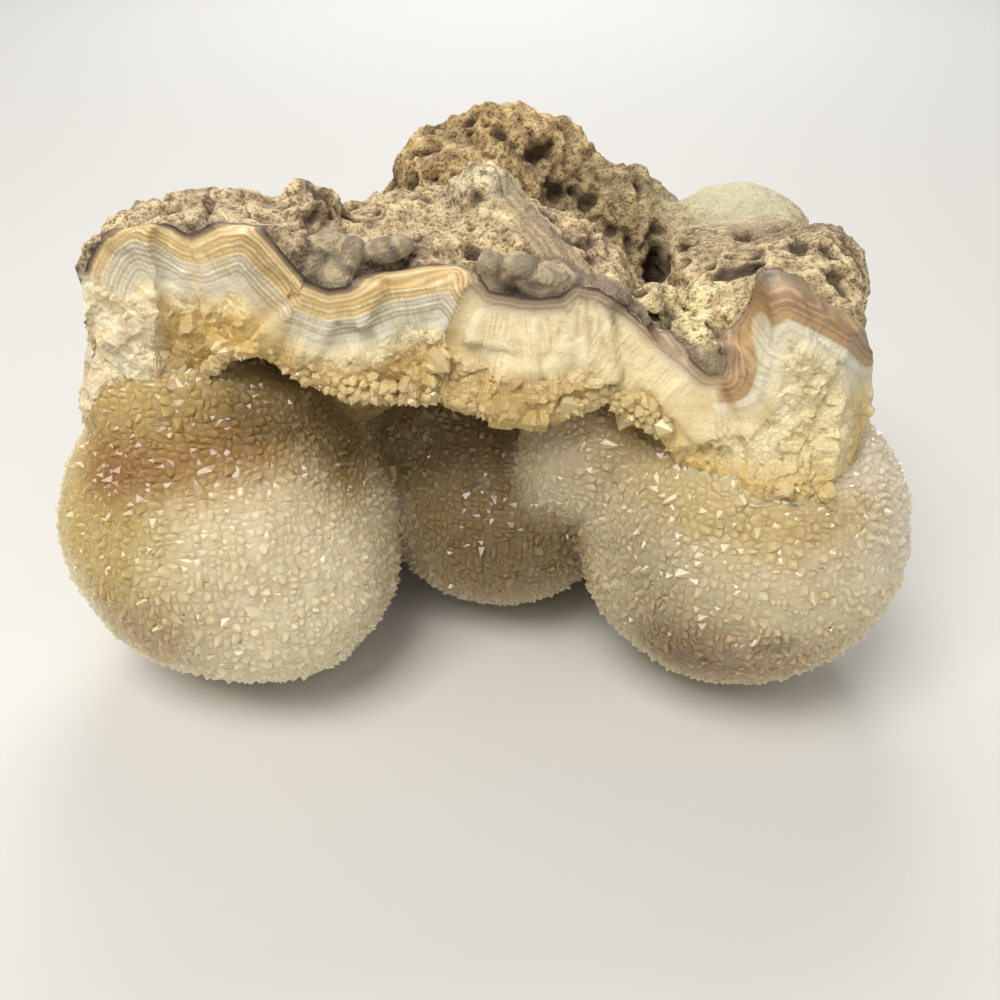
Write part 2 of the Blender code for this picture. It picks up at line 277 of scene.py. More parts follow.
def without(first, second, soft):
    """The first shape less the second, with a rounded edge."""
    return -joined(-first, second, soft)


def front_face(points):
    """How far a point lies in front of the broken face."""
    line = np.array(FRONT_LINE)
    x, height = points[..., 0], points[..., 2]
    lean = np.interp(x, LEAN_CHANGES, (LEFT_LEAN, RIGHT_LEAN))
    place = np.interp(x, line[:, 0], line[:, 1]) + (height - FRONT_BOTTOM) * lean
    for (x_low, z_low), (x_high, z_high), depth in STEPS:
        edge = x_low + (x_high - x_low) * (height - z_low) / (z_high - z_low)
        edge = edge + noise(points, 4.0, 5) * 0.8
        place = place + depth * ramp(x - edge, -0.35, 0.35) * ramp(x - edge, 14.0, 7.0)
    return place - points[..., 1]


def hollow_depth(points):
    """How far a point is from the hollow under the brow; under 0 is inside it."""
    return np.minimum(*[ellipsoid(points, *shape) for shape in HOLLOWS])


def rock(points):
    """The wall without its balls, broken at the front."""
    whole = np.full(points.shape[:-1], 99.0)
    for shape in BLOCKS.values():
        whole = joined(whole, block(points, *shape), 5.0)
    for shape in LUMPS.values():
        whole = joined(whole, ellipsoid(points, *shape), 4.0)
    for start, end in zip(RIDGE[:-1], RIDGE[1:]):
        whole = joined(whole, rod(points, start, end, RIDGE_RADIUS), 4.0)
    whole = whole + layered(points, 17.0, 41, 3) * 1.5
    whole = without(whole, rod(points, *VALLEY), 2.5)
    for shape in CRUSTS:
        whole = joined(whole, ellipsoid(points, *shape), 1.2)
    for shape in PITS:
        whole = without(whole, ellipsoid(points, *shape), 2.0)
    whole = without(whole, hollow_depth(points), 2.0)
    for shape in BROWS:
        whole = joined(whole, ellipsoid(points, *shape), 2.0)
    whole = np.maximum(whole, front_face(points) * 0.9)
    for shape in NODULES:
        whole = joined(whole, ellipsoid(points, *shape), 0.7)
    return whole


def balls(points):
    """The quartz balls under their crystals."""
    whole = np.full(points.shape[:-1], 99.0)
    for centre, radii in BALLS.values():
        smaller = [radius - CRUST_SUNK for radius in radii]
        whole = joined(whole, ellipsoid(points, centre, smaller), 2.5)
    whole = whole + layered(points, 12.0, 61, 2) * 0.9
    return np.maximum(whole, CRUST_FLOOR - points[..., 2])


CRUST_SUNK = 0.9
CRUST_FLOOR = 0.6
CRUST_CELLS = 26000


def surface(form, low, high, step):
    """A closed mesh of quads where the form is zero: one point in each cell that the surface crosses."""
    low, high = np.array(low), np.array(high)
    count = ((high - low) / step).astype(int) + 1
    lines = [low[axis] + step * np.arange(count[axis]) for axis in range(3)]
    field = np.empty(count)
    for index, x in enumerate(lines[0]):
        grid = np.stack(np.meshgrid([x], lines[1], lines[2], indexing="ij"), -1)
        field[index] = form(grid)[0]
    inside = field < 0
    total = np.zeros(count - 1, int)
    for i, j, k in itertools.product((0, 1), repeat=3):
        total += inside[i:count[0] - 1 + i, j:count[1] - 1 + j, k:count[2] - 1 + k]
    crossed = np.argwhere((total > 0) & (total < 8))
    number = np.full(count - 1, -1)
    number[tuple(crossed.T)] = np.arange(len(crossed))
    place = np.zeros((len(crossed), 3))
    hits = np.zeros(len(crossed))
    for axis in range(3):
        others = [other for other in range(3) if other != axis]
        for first, second in itertools.product((0, 1), repeat=2):
            start = np.zeros((len(crossed), 3), int)
            start[:, others[0]] = first
            start[:, others[1]] = second
            end = start.copy()
            end[:, axis] = 1
            before = field[tuple((crossed + start).T)]
            after = field[tuple((crossed + end).T)]
            hit = (before < 0) != (after < 0)
            part = np.where(hit, before / np.where(hit, before - after, 1), 0)
            spot = start.astype(float)
            spot[:, axis] = part
            place += spot * hit[:, None]
            hits += hit
    points = (crossed + place / hits[:, None]) * step + low
    quads = []
    for axis in range(3):
        first, second = (axis + 1) % 3, (axis + 2) % 3
        here = np.moveaxis(inside, axis, 0)
        edges = np.argwhere(here[:-1] != here[1:])
        starts = here[:-1][tuple(edges.T)]
        edges = edges[:, np.argsort([axis] + [other for other in range(3) if other != axis])]
        corners = []
        for back_first, back_second in ((1, 1), (0, 1), (0, 0), (1, 0)):
            cell = edges.copy()
            cell[:, first] -= back_first
            cell[:, second] -= back_second
            corners.append(number[tuple(cell.T)])
        quad = np.stack(corners, 1)
        quad[~starts] = quad[~starts][:, ::-1]
        quads.append(quad)
    return points, np.concatenate(quads)


def normals_of(points, quads):
    """A direction for each point, out of the surface."""
    across = points[quads[:, 2]] - points[quads[:, 0]]
    along = points[quads[:, 3]] - points[quads[:, 1]]
    flat = np.cross(across, along)
    total = np.zeros_like(points)
    for corner in range(4):
        np.add.at(total, quads[:, corner], flat)
    return total / np.maximum(np.sqrt((total**2).sum(-1, keepdims=True)), 1e-9)


def band_depth(points):
    """How deep a point lies under the line where rind turns to agate, under 0 being rind, and its place along it."""
    line = np.array(BAND_LINE)
    x, y, z = points[..., 0], points[..., 1], points[..., 2]
    away = np.full(x.shape, 99.0)
    along = np.zeros(x.shape)
    done = 0.0
    for start, end in zip(line[:-1], line[1:]):
        run = end - start
        length = np.hypot(*run)
        part = np.clip(((x - start[0]) * run[0] + (z - start[1]) * run[1]) / (run @ run), 0, 1)
        gap = np.hypot(x - start[0] - part * run[0], z - start[1] - part * run[1])
        along = np.where(gap < away, done + part * length, along)
        away = np.minimum(away, gap)
        done += length
    front = np.where(z < np.interp(x, line[:, 0], line[:, 1]), away, -away)
    level = 66.0 - 20.0 * ramp(y, -10.0, 48.0) + 4.0 * noise(points * np.array([1, 1, 0.3]), 13.0, 71)
    rear = level - z
    return front + (rear - front) * ramp(y, -31.0, -23.0), along


def new_object(name, points, faces, smooth):
    """A mesh object in metres. faces is one array, or several of different widths. smooth is for all, or for each."""
    if isinstance(faces, np.ndarray):
        faces = [faces]
    mesh = bpy.data.meshes.new(name)
    mesh.vertices.add(len(points))
    mesh.vertices.foreach_set("co", (points * MM).astype(np.float32).ravel())
    corners = np.concatenate([group.ravel() for group in faces])
    widths = np.concatenate([np.full(len(group), group.shape[1]) for group in faces])
    mesh.loops.add(len(corners))
    mesh.loops.foreach_set("vertex_index", corners.astype(np.int32))
    mesh.polygons.add(len(widths))
    starts = np.concatenate([[0], np.cumsum(widths)[:-1]])
    mesh.polygons.foreach_set("loop_start", starts.astype(np.int32))
    mesh.polygons.foreach_set("use_smooth", np.zeros(len(widths), bool) | smooth)
    mesh.update(calc_edges=True)
    mesh.validate()
    made = bpy.data.objects.new(name, mesh)
    bpy.context.scene.collection.objects.link(made)
    return made


def thinned(thing, kept, share):
    """Leaves this share of the faces, taking them only where kept is 0, such as under the crust."""
    group = thing.vertex_groups.new(name="hidden")
    group.add(np.flatnonzero(~kept).tolist(), 1.0, "REPLACE")
    modifier = thing.modifiers.new("thinned", "DECIMATE")
    modifier.ratio = share
    modifier.vertex_group = group.name
    modifier.vertex_group_factor = 10.0
    graph = bpy.context.evaluated_depsgraph_get()
    mesh = bpy.data.meshes.new_from_object(thing.evaluated_get(graph))
    thing.modifiers.clear()
    thing.vertex_groups.clear()
    old, thing.data = thing.data, mesh
    bpy.data.meshes.remove(old)


def give(thing, name, values):
    """Stores a number for each point, for the material to read."""
    kind = "FLOAT" if values.ndim == 1 else "FLOAT_COLOR"
    kept = thing.data.attributes.new(name, kind, "POINT")
    if values.ndim == 1:
        kept.data.foreach_set("value", values.astype(np.float32))
    else:
        four = np.concatenate([values, np.ones((len(values), 1))], 1)
        kept.data.foreach_set("color", four.astype(np.float32).ravel())


def near(points, centre, reach):
    """1 at a place, fading to 0 about reach away. reach may differ along the three axes."""
    part = (points - np.array(centre)) / np.array(reach)
    return np.exp(-(part**2).sum(-1))


def held_in_box(points):
    """Keeps the piece inside the box of the solids."""
    low, high = np.array(CAD_LOW) / MM, np.array(CAD_HIGH) / MM
    return np.clip(points, low + 0.02, high - 0.02)


def streak_distance(points):
    """Distance to the middle line of the grey streaked ridge."""
    return np.minimum.reduce([rod(points, start, end, 0.0) for start, end in zip(RIDGE_STREAKS[:-1], RIDGE_STREAKS[1:])])


def streaked(points):
    """Where the grey streaked ridge is, from 0 to 1, with a ragged edge."""
    places, widths = zip(*STREAK_WIDTHS)
    wide = np.interp(points[:, 1], places, widths) * (1 - 0.55 * ramp(points[:, 0], 20.0, 27.0))
    away = streak_distance(points) + noise(points, 3.0, 181) * 1.1 + noise(points, 1.4, 182) * 0.5
    return ramp(away / wide, 1.25, 0.65)


def crack_distance(points):
    """Distance to the crack under the valley."""
    return np.minimum.reduce([rod(points, start, end, 0.0) for start, end in zip(CRACK[:-1], CRACK[1:])])


def darkened(points, front):
    """Where thin dark lines cross the broken face, 0 to 1: streaks that fan out below the ridge, and the crack."""
    x, z = points[:, 0] - FAN[0], points[:, 2] - FAN[2]
    turn = np.arctan2(x, -z)
    lines = ramp(np.sin(turn * 24.0 + noise(points, 5.0, 201) * 2.5) + noise(points, 2.2, 202) * 0.9, 0.1, 0.9)
    fan = lines * ramp(np.hypot(x, z), 20.0, 7.0) * ramp(np.abs(turn), 1.1, 0.6) * front
    crack = ramp(crack_distance(points) + noise(points, 1.6, 203) * 0.5, 0.9, 0.1) * ramp(layered(points, 5.0, 204, 2), -0.6, 0.3)
    return np.clip(fan * 0.5 + crack * 0.7, 0, 1)


def fibres(along, depth):
    """Columns of quartz that grow away from the band line, about a millimetre and a half wide."""
    spot = np.stack([along / 1.5, depth / 11.0, np.zeros_like(depth)], -1)
    wide = np.stack([along / 4.5, depth / 20.0, np.ones_like(depth)], -1)
    return noise(spot, 1.0, 105) * 0.6 + noise(wide, 1.0, 106) * 0.8


def even_rind(points):
    """Where the rind is smooth, from 0 to 1: the pale lobe, the streaked ridge and the nodules."""
    pale = np.clip(near(points, (55.0, 27.0, 76.0), (14.0, 13.0, 14.0)) * 1.6, 0, 1)
    ridge = streaked(points)
    nodule = np.zeros(len(points))
    for shape in NODULES:
        nodule = np.maximum(nodule, ramp(ellipsoid(points, *shape), 1.2, 0.4))
    return np.maximum(np.maximum(pale, ridge * 0.7), nodule)


def wall_relief(points, depth, along, front, grainy, smooth):
    """How far each point of the wall moves out, and how dark the rind is there: painted shade in its low spots, pores
    and folds, and in the pits partly a dark deposit, partly painted shade.
    """
    rind = ramp(-depth, -0.3, 0.5)
    peak = near(points, (4.0, 38.0, 78.0), (34.0, 24.0, 30.0))
    curly = np.clip(near(points, (-45.0, -22.0, 93.0), (13.0, 14.0, 12.0)) * 1.5, 0, 1)
    ridge = streaked(points)
    bent = points + np.stack([noise(points, 6.0, seed) for seed in (81, 82, 83)], -1) * 2.5
    folds = np.abs(noise(bent, 4.2, 84))
    nearest, following = cells(points + bent * 0.15, 5.0, 85)
    knobs = (0.5 - nearest) * 1.6
    fine_knobs = (0.5 - cells(points, 2.1, 86)[0]) * 0.9
    pores = np.maximum(noise(points, 1.9, 91) * 0.7 + noise(points, 3.6, 92) * 0.7 - 0.20, 0)
    rough = layered(points, 8.0, 93, 3) * (1.2 + 1.3 * peak) - np.abs(layered(points, 4.5, 94, 3)) * (1.2 + 1.6 * peak)
    porous = rind * (1 - 0.9 * smooth) * (1 - 0.6 * curly)
    move = rind * (rough + knobs + fine_knobs) * (1 - 0.85 * smooth) * (1 - 0.6 * curly)
    move = move - porous * pores * (3.0 + 3.0 * peak)
    move = move - rind * curly * (0.35 - np.minimum(folds, 0.35)) * 7.0
    move = move + rind * ridge * np.sin(streak_distance(points) * 3.0 + noise(points, 6.0, 98) * 4.0) * 0.25
    sugar = facets(points, 2.4, 101) * 0.42 + facets(points, 6.0, 111) * 0.50
    flat = points * np.array([1.0, 0.0, 1.0])
    broken = facets(flat, 15.0, 21) * 1.5 + layered(flat, 6.0, 31, 3) * 0.45
    lines = np.sin(depth * 4.0 + noise(points, 5.0, 103) * 2.0) * 0.07 * ramp(depth, 0.2, 1.0) * ramp(depth, 13.0, 9.0)
    columns = fibres(along, depth) * 0.6 * ramp(depth, 3.0, 12.0) * front
    move = move + (1 - rind) * (sugar * grainy + lines * (1 - grainy) + columns) + front * broken
    move = move - (1 - rind) * ramp(crack_distance(points), 1.2, 0.2) * 0.5
    # The hollow amount is painted shade in low spots, pores and the folds of the curly crown; in the pits it is partly
    # a dark deposit, partly painted shade
    hollow = -(rough + knobs * 0.7) * 0.22 + porous * pores * 2.6 + curly * ramp(folds, 0.12, 0.02)
    inside = np.minimum.reduce([ellipsoid(points, *shape) for shape in PITS])
    hollow = np.maximum(hollow * (1 - 0.8 * smooth), ramp(inside, 1.0, -0.2) * 1.1)
    hollow = np.clip(hollow, 0, 1.2) * rind
    return move, hollow


def face_zones(points, front):
    """How far each point is in the right, the middle and the near left part of the broken face, from 0 to 1."""
    x, y, z = points.T
    right = ramp(x + noise(points, 6.0, 111) * 0.8, 37.2, 38.6)
    step = -8.0 + (z - 65.0) * 0.343 + noise(points, 4.0, 5) * 0.8
    middle = ramp(x - step, -0.3, 0.4) * ramp(y, -20.0, -28.0)
    level = z + noise(points, 7.0, 113) * 3.0 + (x + 60.0) * 0.25
    near_left = ramp(-x + noise(points, 5.0, 112) * 0.8, 52.4, 53.6) * ramp(level, 82.0, 80.0) * front
    return right, middle, near_left


def grains(points, depth, zones):
    """Where the quartz is broken into grains, from 0 to 1: under the banded agate."""
    right, middle, near_left = zones
    reach = 9.5 + 1.5 * middle - 3.5 * right + noise(points, 7.0, 171) * 1.5
    return np.maximum(ramp(depth - reach, 0.0, 2.5), near_left)


def make_wall():
    points, quads = surface(rock, (-76, -54, 30), (80, 62, 100), WALL_STEP)
    facing = normals_of(points, quads)
    depth, along = band_depth(points)
    front = ramp(front_face(points), -2.5, -0.8)
    zones = face_zones(points, front)
    grainy = grains(points, depth, zones)
    even = even_rind(points)
    move, hollow = wall_relief(points, depth, along, front, grainy, even)
    moved = held_in_box(points + facing * move[:, None])
    wall = new_object("geode_wall_stone", moved, quads, grainy[quads].mean(1) < 0.5)
    left_end = ramp(-points[:, 0], 51.5, 55.0) * ramp(depth, 0.9, 2.6)
    give(wall, "depth", depth + left_end * 2.2)
    give(wall, "darkened", darkened(points, front))
    give(wall, "along", along)
    # Painted shade in the rind's hollows, partly a dark deposit in the pits
    give(wall, "hollow", hollow)
    give(wall, "rind_colour", rind_colours(points, depth))
    give(wall, "lines_at", line_places(points))
    give(wall, "lined", line_strength(points, depth))
    for name, amount in zip(("right_part", "middle_part", "near_part"), zones):
        give(wall, name, amount)
    give(wall, "stain", wall_stain(points))
    give(wall, "even", even)
    give(wall, "grainy", grainy)
    banded = ramp(9.0 - 6.5 * zones[1] - 2.5 * zones[0] - depth, 0.0, 1.5) * (1 - zones[2])
    give(wall, "laminae", banded * ramp(layered(points, 9.0, 161, 2), -0.7, 0.2))
    thinned(wall, balls(points) > -2.5, WALL_SHARE)
    print("WALL", len(points), len(quads), len(wall.data.polygons), sum(len(f.vertices) - 2 for f in wall.data.polygons))
    return wall, points, quads, facing, depth


def line_places(points):
    """The distance that the fine lines on the rind run along, in millimetres."""
    ridge = streak_distance(points) * 0.6
    pale = ellipsoid(points, *LUMPS["pale"]) + noise(points, 7.0, 151) * 1.2
    nodules = np.full(len(points), 99.0)
    for shape in NODULES:
        nodules = np.minimum(nodules, points[:, 0] * 0 + np.sqrt((((points - np.array(shape[0])) / np.array(shape[1])) ** 2).sum(-1)) * 4.0)
    place = np.where(points[:, 0] > 36.0, pale, ridge)
    return np.where(nodules < 4.8, nodules, place)


def line_strength(points, depth):
    """Where the rind shows fine lines, from 0 to 1."""
    ridge = streaked(points)
    arcs = near(points, (58.0, 6.0, 78.0), (13.0, 10.0, 9.0)) * 1.2 + near(points, (41.5, 9.0, 76.0), (5.0, 11.0, 8.0))
    nodules = np.zeros(len(points))
    for shape in NODULES:
        nodules = np.maximum(nodules, ramp(ellipsoid(points, *shape), 1.0, 0.3))
    return np.clip(ridge * 0.75 + arcs + nodules, 0, 1)


def rind_colours(points, depth):
    """The rind's own colours: cream on the front slope, brown on the peak, grey-green on the pale lobe; and painted
    shade in the crease around each nodule.
    """
    cream = np.array([0.70, 0.565, 0.35])
    zones = (
        (near(points, (-44.0, -22.0, 92.0), (16.0, 14.0, 12.0)), (0.70, 0.57, 0.37)),
        (near(points, (3.0, 38.0, 78.0), (36.0, 22.0, 34.0)), (0.64, 0.48, 0.24)),
        (near(points, (28.0, 30.0, 74.0), (16.0, 16.0, 14.0)), (0.46, 0.36, 0.20)),
        (near(points, (36.0, -26.0, 72.0), (8.0, 14.0, 9.0)), (0.98, 0.87, 0.52)),
        (near(points, (55.0, 26.0, 78.0), (15.0, 14.0, 12.0)), (0.67, 0.635, 0.43)),
        (near(points, (60.0, 6.0, 76.0), (16.0, 9.0, 8.0)), (0.56, 0.44, 0.27)),
        (near(points, (58.0, -20.0, 78.0), (14.0, 14.0, 8.0)), (0.72, 0.59, 0.36)),
    )
    colour = np.tile(cream, (len(points), 1))
    for amount, tone in zones:
        colour += (np.array(tone) - colour) * np.clip(amount * 1.3, 0, 1)[:, None]
    ridge = streaked(points)
    colour += (np.array([0.47, 0.365, 0.215]) - colour) * ridge[:, None] * 0.8
    knob = np.clip(near(points, (-0.5, -11.0, 93.0), (5.5, 5.0, 5.0)) * 1.6, 0, 1)
    colour += (np.array([0.72, 0.64, 0.43]) - colour) * knob[:, None]
    rim = ramp(depth, -2.6, -0.8) * ramp(points[:, 1], -22.0, -29.0)
    colour += (np.array([0.28, 0.205, 0.15]) - colour) * rim[:, None] * 0.7
    for shape in NODULES:
        away = ellipsoid(points, *shape)
        # A dark ring just outside each nodule: painted shade in the crease where it meets the rind
        crease_shade = ramp(away, 2.2, 1.1) * ramp(away, 0.3, 0.9)
        colour += (np.array([0.13, 0.10, 0.075]) - colour) * crease_shade[:, None] * 0.7
        close = ramp(away, 0.8, 0.2)
        colour += (np.array([0.57, 0.46, 0.29]) - colour) * close[:, None] * 0.9
    return colour


def wall_stain(points):
    """Yellow-brown iron stain, 0 to 1: along the ledge over the right ball and in the lower creases."""
    ledge = near(points, (44.0, -46.0, 54.0), (24.0, 9.0, 3.0)) * 0.8
    inner = near(points, (27.0, -40.0, 60.0), (9.0, 8.0, 7.0)) * 0.8
    vein = near(points, (-45.8, -35.0, 80.0), (1.4, 6.0, 9.0)) * 0.5
    edge = near(points, (63.0, -42.0, 60.0), (2.5, 7.0, 9.0)) * 0.9
    left = near(points, (-39.0, -36.0, 74.0), (9.0, 6.0, 7.0)) * 0.9
    patches = ramp(layered(points, 5.0, 121, 3), 0.15, 0.75) * 0.30
    return np.clip(ledge + inner + vein + edge + left + patches, 0, 1)


def dual_cells(thing, count):
    """The mesh as about this many cells of five to seven sides."""
    fewer = thing.modifiers.new("fewer", "DECIMATE")
    fewer.ratio = 2 * count / (2 * len(thing.data.polygons))
    tree = bpy.data.node_groups.new("cells", "GeometryNodeTree")
    tree.interface.new_socket("Geometry", in_out="INPUT", socket_type="NodeSocketGeometry")
    tree.interface.new_socket("Geometry", in_out="OUTPUT", socket_type="NodeSocketGeometry")
    source = tree.nodes.new("NodeGroupInput")
    dual = tree.nodes.new("GeometryNodeDualMesh")
    result = tree.nodes.new("NodeGroupOutput")
    tree.links.new(source.outputs[0], dual.inputs[0])
    tree.links.new(dual.outputs[0], result.inputs[0])
    thing.modifiers.new("cells", "NODES").node_group = tree
    graph = bpy.context.evaluated_depsgraph_get()
    return bpy.data.meshes.new_from_object(thing.evaluated_get(graph))


def with_points(mesh, chance):
    """Raises a crystal point of flat faces over each cell, leaning its own way. Gives the points and triangles."""
    count = len(mesh.vertices)
    corners = np.empty(count * 3, np.float32)
    mesh.vertices.foreach_get("co", corners)
    corners = corners.reshape(-1, 3) / MM
    starts = np.empty(len(mesh.polygons), np.int32)
    mesh.polygons.foreach_get("loop_start", starts)
    totals = np.empty(len(mesh.polygons), np.int32)
    mesh.polygons.foreach_get("loop_total", totals)
    outward = np.empty(len(mesh.polygons) * 3, np.float32)
    mesh.polygons.foreach_get("normal", outward)
    outward = outward.reshape(-1, 3)
    middle = np.empty(len(mesh.polygons) * 3, np.float32)
    mesh.polygons.foreach_get("center", middle)
    middle = middle.reshape(-1, 3) / MM
    used = np.empty(len(mesh.loops), np.int32)
    mesh.loops.foreach_get("vertex_index", used)
    area = np.empty(len(mesh.polygons), np.float32)
    mesh.polygons.foreach_get("area", area)
    wide = np.sqrt(area / MM**2 / math.pi)
    cell = np.repeat(np.arange(len(totals)), totals)
    place = np.arange(len(used)) - starts[cell]
    following = used[starts[cell] + (place + 1) % totals[cell]]
    aside = chance.normal(0, 1, (len(totals), 3))
    aside -= outward * (aside * outward).sum(-1, keepdims=True)
    height = wide * (0.25 + 0.95 * chance.random(len(totals)) ** 1.5)
    tips = middle + outward * height[:, None] + aside * (wide * 0.45)[:, None]
    triangles = np.stack([used, following, count + cell], 1)
    return np.concatenate([corners, tips]), triangles


def make_crust(chance):
    points, quads = surface(balls, (-84, -58, -1), (84, 60, 76), CRUST_STEP)
    base = new_object("druzy_crust_form", points + chance.uniform(-0.3, 0.3, points.shape), quads, True)
    mesh = dual_cells(base, CRUST_CELLS)
    bpy.data.objects.remove(base)
    corners, triangles = with_points(mesh, chance)
    crust = new_object("druzy_crust_points", held_in_box(corners), triangles, False)
    give(crust, "tint", tints(corners))
    print("CRUST", len(triangles))
    return crust


WHITE = (0.77, 0.675, 0.465)
OLIVE = (0.50, 0.37, 0.12)
BROWN = (0.38, 0.22, 0.10)
ROSY = (0.0, 0.06, 0.02)
HANGING = (0.75, 0.59, 0.30)
# Dark brown of the recess under the overhang: partly a brown stain, partly painted shade
RECESS_STAIN_AND_SHADE = (0.25, 0.177, 0.075)
# Where the crust is darker, browner or whiter: mostly painted shade, low on the balls, under the overhang and between
# them, and painted light on the right side of the left ball; the crease at the left is partly brown stain and partly
# painted shade, and the right ball's far right is whiter in its own colour. Place, reach and the share of each colour
# that is left
PAINTED_SHADE_LIGHT_AND_TINTS = (
    ((-49.0, -38.0, 58.0), (20.0, 12.0, 9.0), (0.90, 0.85, 0.80)),
    ((-42.0, -38.0, 59.0), (7.0, 7.0, 6.0), (0.80, 0.73, 0.62)),
    ((-50.0, -44.0, 53.0), (10.0, 8.0, 4.0), (0.88, 0.82, 0.70)),
    ((-64.0, -42.0, 52.0), (9.0, 10.0, 4.5), (0.62, 0.46, 0.30)),
    ((-60.0, -50.0, 24.0), (12.0, 10.0, 9.0), (0.62, 0.51, 0.41)),
    ((-24.0, -42.0, 34.0), (8.0, 9.0, 9.0), (1.20, 1.20, 1.24)),
    ((-24.0, -32.5, 47.0), (8.5, 8.0, 7.0), (0.46, 0.37, 0.23)),
    ((3.0, -30.0, 22.0), (22.0, 10.0, 14.0), (0.62, 0.54, 0.41)),
    ((19.0, -36.0, 51.0), (9.0, 7.0, 8.0), (0.82, 0.79, 0.82)),
    ((27.0, -46.0, 38.0), (9.0, 9.0, 9.0), (0.68, 0.66, 0.65)),
    ((56.0, -50.0, 46.0), (16.0, 8.0, 6.0), (0.97, 0.92, 0.82)),
    ((49.0, -46.0, 22.0), (30.0, 24.0, 22.0), (0.80, 0.77, 0.67)),
    ((34.0, -51.0, 22.0), (11.0, 10.0, 12.0), (0.52, 0.45, 0.38)),
    ((46.0, -52.0, 18.0), (22.0, 12.0, 9.0), (0.64, 0.57, 0.52)),
    ((68.0, -44.0, 46.0), (11.0, 12.0, 12.0), (1.04, 1.06, 1.28)),
)


def tints(points):
    """The colour of the quartz crust: milky white, with olive-yellow and brown stain; dark brown in the recess under
    the overhang, partly a brown stain and partly painted shade; and patches of painted shade and painted light on the
    balls.
    """
    uneven = layered(points, 9.0, 131, 3)
    olive = near(points, (-68.0, -42.0, 45.0), (15.0, 17.0, 12.0)) * 1.3
    olive += near(points, (-60.0, -48.0, 33.0), (11.0, 12.0, 8.0)) * 0.6
    olive += near(points, (-62.0, -38.0, 62.0), (15.0, 15.0, 9.0)) * 1.1
    olive += near(points, (-40.0, -36.0, 60.0), (16.0, 12.0, 8.0)) * 1.0
    olive += near(points, (26.0, -40.0, 56.0), (13.0, 10.0, 8.0)) * 0.8
    olive += near(points, (50.0, -46.0, 48.0), (24.0, 12.0, 5.0)) * 0.8
    olive += near(points, (-8.0, -36.0, 58.0), (34.0, 14.0, 6.0)) * 0.45
    brown = near(points, (-58.0, -46.0, 55.0), (16.0, 9.0, 3.5)) * 0.9
    brown += near(points, (-34.0, -40.0, 57.0), (14.0, 10.0, 5.0)) * 0.6
    olive = np.clip(olive + uneven * 0.35 * (olive + 0.25), 0, 1)
    brown = np.clip(brown + uneven * 0.3 * brown, 0, 1)
    colour = np.tile(np.array(WHITE), (len(points), 1))
    colour += (np.array(OLIVE) - colour) * olive[:, None] * 0.85
    colour += (np.array(BROWN) - colour) * brown[:, None] * 0.8
    # Dark brown under the overhang and around the left and inner balls: partly a brown stain, partly painted shade
    recess = near(points, (2.0, -22.0, 36.0), (26.0, 18.0, 26.0)) * 1.4
    recess += near(points, (-24.0, -30.0, 61.0), (24.0, 13.0, 9.0)) * 1.1
    outside = np.minimum(ellipsoid(points, *BALLS["inner"]), ellipsoid(points, *BALLS["left"]))
    recess *= ramp(outside, -1.0, 5.0) * 0.75 + 0.25
    recess += near(points, (-35.5, -33.0, 61.0), (7.5, 8.0, 6.0)) * 1.3
    recess += near(points, (-27.0, -27.0, 52.5), (8.0, 8.0, 6.5)) * 1.5 + near(points, (-17.0, -17.0, 43.0), (9.0, 9.0, 8.0))
    colour += (np.array(RECESS_STAIN_AND_SHADE) - colour) * np.clip(recess, 0, 1)[:, None] * 0.9
    # Painted shade and painted light on the crust, with a few real tints, from the table above
    for place, reach, shade in PAINTED_SHADE_LIGHT_AND_TINTS:
        colour *= 1 + near(points, place, reach)[:, None] * (np.array(shade) - 1)
    scar = ramp(ellipsoid(points + noise(points, 2.0, 221)[:, None], *SCAR), 0.8, -0.4)
    colour += (np.array([0.30, 0.24, 0.15]) - colour) * scar[:, None] * 0.8
    rosy = ramp(layered(points, 22.0, 191, 2), -0.1, 0.7)[:, None]
    colour = colour * (1 - rosy * np.array(ROSY))
    return colour


def scattered(points, quads, facing, allowed, spacing, chance, tries):
    """Places on the surface at least spacing apart, with the direction out of it at each."""
    usable = quads[allowed[quads].all(1)]
    across = points[usable[:, 2]] - points[usable[:, 0]]
    along = points[usable[:, 3]] - points[usable[:, 1]]
    area = np.sqrt((np.cross(across, along) ** 2).sum(-1))
    picked = usable[chance.choice(len(usable), tries, p=area / area.sum())]
    first, second = chance.random(tries)[:, None], chance.random(tries)[:, None]

    def blend(values):
        low = values[picked[:, 0]] * (1 - first) + values[picked[:, 1]] * first
        high = values[picked[:, 3]] * (1 - first) + values[picked[:, 2]] * first
        return low * (1 - second) + high * second

    spots, outward = blend(points), blend(facing)
    wanted = spacing(spots)
    kept = []
    grid = {}
    widest = float(wanted.max())
    keys = np.floor(spots / widest).astype(int)
    for index in range(tries):
        key = tuple(keys[index])
        gap = wanted[index] ** 2
        free = True
        for move in itertools.product((-1, 0, 1), repeat=3):
            for other in grid.get((key[0] + move[0], key[1] + move[1], key[2] + move[2]), ()):
                away = spots[index] - spots[other]
                if away @ away < gap:
                    free = False
                    break
            if not free:
                break
        if free:
            kept.append(index)
            grid.setdefault(key, []).append(index)
    kept = np.array(kept)
    return spots[kept], outward[kept], wanted[kept]


